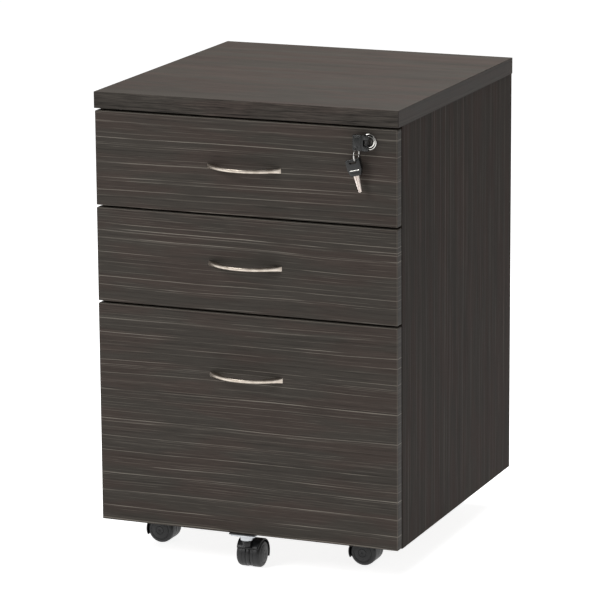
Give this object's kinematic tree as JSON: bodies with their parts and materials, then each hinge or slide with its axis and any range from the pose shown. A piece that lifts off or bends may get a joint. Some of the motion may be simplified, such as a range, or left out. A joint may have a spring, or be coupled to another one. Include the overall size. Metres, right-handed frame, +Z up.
{
  "type": "rolling pedestal cabinet",
  "caption": "Rolling under-desk pedestal of dark line-grain board with shallow drawers over a file drawer, bow handles, a central lock with folding key, and twin-wheel casters.",
  "frame": {"origin": "on the floor, under the middle of the box that holds the closed cabinet with its handles", "axes": "+X to the right of someone facing the drawers, +Y to the back, +Z up; drawers open towards -Y"},
  "size_m": [0.467, 0.51, 0.695],
  "materials": {
    "board": "dark line-grain melamine, satin",
    "box_board": "plain pale grey melamine",
    "satin_nickel": "satin nickel",
    "lock_nickel": "polished nickel",
    "zinc": "bright zinc plate",
    "key_steel": "nickel-plated",
    "black_steel": "black powder coat",
    "black_plastic": "black moulded plastic",
    "white_plastic": "white moulded plastic"
  },
  "bodies": {
    "cabinet": {"top_panel": "board", "left_side_panel": "board", "right_side_panel": "board", "back_panel": "board", "bottom_panel": "board", "cam_fittings": "zinc", "case_runner_members": "zinc", "lock_bar_guides": "white_plastic", "caster_plates": "zinc", "caster_plate_screws": "zinc"},
    "locking_bar": {"lock_bar": "zinc"},
    "top_drawer": {"top_drawer_front": "board", "top_drawer_box_sides": "box_board", "top_drawer_box_back": "box_board", "top_drawer_box_bottom": "box_board", "top_drawer_handle": "satin_nickel", "top_drawer_fasteners": "zinc", "top_drawer_runner_members": "zinc", "lock_barrel": "lock_nickel"},
    "top_drawer_middle": {"top_drawer_middle_members": "zinc"},
    "middle_drawer": {"middle_drawer_front": "board", "middle_drawer_box_sides": "box_board", "middle_drawer_box_back": "box_board", "middle_drawer_box_bottom": "box_board", "middle_drawer_handle": "satin_nickel", "middle_drawer_fasteners": "zinc", "middle_drawer_runner_members": "zinc"},
    "middle_drawer_middle": {"middle_drawer_middle_members": "zinc"},
    "file_drawer": {"file_drawer_front": "board", "file_drawer_box_sides": "box_board", "file_drawer_box_back": "box_board", "file_drawer_box_bottom": "box_board", "file_drawer_handle": "satin_nickel", "file_drawer_fasteners": "zinc", "file_drawer_runner_members": "zinc", "file_hanging_rails": "zinc", "fifth_caster_bracket": "black_steel", "fifth_caster_plate": "zinc"},
    "file_drawer_middle": {"file_drawer_middle_members": "zinc"},
    "plug": {"lock_plug": "lock_nickel"},
    "key": {"key_blade": "key_steel"},
    "key_grip": {"key_head": "black_plastic"},
    "ring": {"key_ring": "key_steel"},
    "spare_key": {"spare_key_head": "black_plastic", "spare_key_blade": "key_steel"},
    "front_left_caster": {"front_left_caster_body": "black_plastic"},
    "front_left_caster_left": {"front_left_caster_left_wheel": "black_plastic"},
    "front_left_caster_right": {"front_left_caster_right_wheel": "black_plastic"},
    "front_right_caster": {"front_right_caster_body": "black_plastic"},
    "front_right_caster_left": {"front_right_caster_left_wheel": "black_plastic"},
    "front_right_caster_right": {"front_right_caster_right_wheel": "black_plastic"},
    "rear_left_caster": {"rear_left_caster_body": "black_plastic"},
    "rear_left_caster_left": {"rear_left_caster_left_wheel": "black_plastic"},
    "rear_left_caster_right": {"rear_left_caster_right_wheel": "black_plastic"},
    "rear_right_caster": {"rear_right_caster_body": "black_plastic"},
    "rear_right_caster_left": {"rear_right_caster_left_wheel": "black_plastic"},
    "rear_right_caster_right": {"rear_right_caster_right_wheel": "black_plastic"},
    "fifth_caster": {"fifth_caster_body": "black_plastic"},
    "fifth_caster_left": {"fifth_caster_left_wheel": "black_plastic"},
    "fifth_caster_right": {"fifth_caster_right_wheel": "black_plastic"}
  },
  "joints": [
    {"name": "top_drawer_slide", "type": "slide", "parent": "cabinet", "child": "top_drawer", "axis": [0, -1, 0], "range_m": [0, 0.38]},
    {"name": "top_drawer_middle_slide", "type": "slide", "parent": "cabinet", "child": "top_drawer_middle", "axis": [0, -1, 0], "range_m": [0, 0.19]},
    {"name": "middle_drawer_slide", "type": "slide", "parent": "cabinet", "child": "middle_drawer", "axis": [0, -1, 0], "range_m": [0, 0.38]},
    {"name": "middle_drawer_middle_slide", "type": "slide", "parent": "cabinet", "child": "middle_drawer_middle", "axis": [0, -1, 0], "range_m": [0, 0.19]},
    {"name": "file_drawer_slide", "type": "slide", "parent": "cabinet", "child": "file_drawer", "axis": [0, -1, 0], "range_m": [0, 0.38]},
    {"name": "file_drawer_middle_slide", "type": "slide", "parent": "cabinet", "child": "file_drawer_middle", "axis": [0, -1, 0], "range_m": [0, 0.19]},
    {"name": "lock_turn", "type": "hinge", "parent": "top_drawer", "child": "plug", "pos_m": [0.19, -0.23, 0.649], "axis": [0, 1, 0], "range_deg": [0, 90]},
    {"name": "bar_lift", "type": "slide", "parent": "cabinet", "child": "locking_bar", "axis": [0, 0, 1], "range_m": [0, 0.0085]},
    {"name": "key_pull", "type": "slide", "parent": "plug", "child": "key", "axis": [0, -1, 0], "range_m": [0, 0.03]},
    {"name": "key_fold", "type": "hinge", "parent": "key", "child": "key_grip", "pos_m": [0.19, -0.2415, 0.649], "axis": [0, 0, 1], "range_deg": [0, 90]},
    {"name": "ring_swing", "type": "hinge", "parent": "key_grip", "child": "ring", "pos_m": [0.175, -0.2415, 0.6415], "axis": [0, 1, 0], "range_deg": [-30, 30]},
    {"name": "spare_key_swing", "type": "hinge", "parent": "ring", "child": "spare_key", "pos_m": [0.175, -0.2415, 0.6215], "axis": [0, 1, 0], "range_deg": [-35, 35]},
    {"name": "front_left_caster_swivel", "type": "hinge", "parent": "cabinet", "child": "front_left_caster", "pos_m": [-0.162, -0.119, 0.05], "axis": [0, 0, 1], "continuous": true},
    {"name": "front_left_caster_left_spin", "type": "hinge", "parent": "front_left_caster", "child": "front_left_caster_left", "pos_m": [-0.182, -0.119, 0.02], "axis": [0, 1, 0], "continuous": true},
    {"name": "front_left_caster_right_spin", "type": "hinge", "parent": "front_left_caster", "child": "front_left_caster_right", "pos_m": [-0.182, -0.119, 0.02], "axis": [0, 1, 0], "continuous": true},
    {"name": "front_right_caster_swivel", "type": "hinge", "parent": "cabinet", "child": "front_right_caster", "pos_m": [0.162, -0.119, 0.05], "axis": [0, 0, 1], "continuous": true},
    {"name": "front_right_caster_left_spin", "type": "hinge", "parent": "front_right_caster", "child": "front_right_caster_left", "pos_m": [0.142, -0.119, 0.02], "axis": [0, 1, 0], "continuous": true},
    {"name": "front_right_caster_right_spin", "type": "hinge", "parent": "front_right_caster", "child": "front_right_caster_right", "pos_m": [0.142, -0.119, 0.02], "axis": [0, 1, 0], "continuous": true},
    {"name": "rear_left_caster_swivel", "type": "hinge", "parent": "cabinet", "child": "rear_left_caster", "pos_m": [-0.162, 0.2, 0.05], "axis": [0, 0, 1], "continuous": true},
    {"name": "rear_left_caster_left_spin", "type": "hinge", "parent": "rear_left_caster", "child": "rear_left_caster_left", "pos_m": [-0.182, 0.2, 0.02], "axis": [0, 1, 0], "continuous": true},
    {"name": "rear_left_caster_right_spin", "type": "hinge", "parent": "rear_left_caster", "child": "rear_left_caster_right", "pos_m": [-0.182, 0.2, 0.02], "axis": [0, 1, 0], "continuous": true},
    {"name": "rear_right_caster_swivel", "type": "hinge", "parent": "cabinet", "child": "rear_right_caster", "pos_m": [0.162, 0.2, 0.05], "axis": [0, 0, 1], "continuous": true},
    {"name": "rear_right_caster_left_spin", "type": "hinge", "parent": "rear_right_caster", "child": "rear_right_caster_left", "pos_m": [0.142, 0.2, 0.02], "axis": [0, 1, 0], "continuous": true},
    {"name": "rear_right_caster_right_spin", "type": "hinge", "parent": "rear_right_caster", "child": "rear_right_caster_right", "pos_m": [0.142, 0.2, 0.02], "axis": [0, 1, 0], "continuous": true},
    {"name": "fifth_caster_swivel", "type": "hinge", "parent": "file_drawer", "child": "fifth_caster", "pos_m": [-0.009, -0.213, 0.05], "axis": [0, 0, 1], "continuous": true},
    {"name": "fifth_caster_left_spin", "type": "hinge", "parent": "fifth_caster", "child": "fifth_caster_left", "pos_m": [-0.009, -0.193, 0.02], "axis": [1, 0, 0], "continuous": true},
    {"name": "fifth_caster_right_spin", "type": "hinge", "parent": "fifth_caster", "child": "fifth_caster_right", "pos_m": [-0.009, -0.193, 0.02], "axis": [1, 0, 0], "continuous": true}
  ],
  "couplings": [
    {"joint": "top_drawer_middle_slide", "follows": "top_drawer_slide", "ratio": 0.5},
    {"joint": "middle_drawer_middle_slide", "follows": "middle_drawer_slide", "ratio": 0.5},
    {"joint": "file_drawer_middle_slide", "follows": "file_drawer_slide", "ratio": 0.5},
    {"joint": "lock_turn", "follows": "bar_lift", "rad_per_m": 184.8}
  ]
}
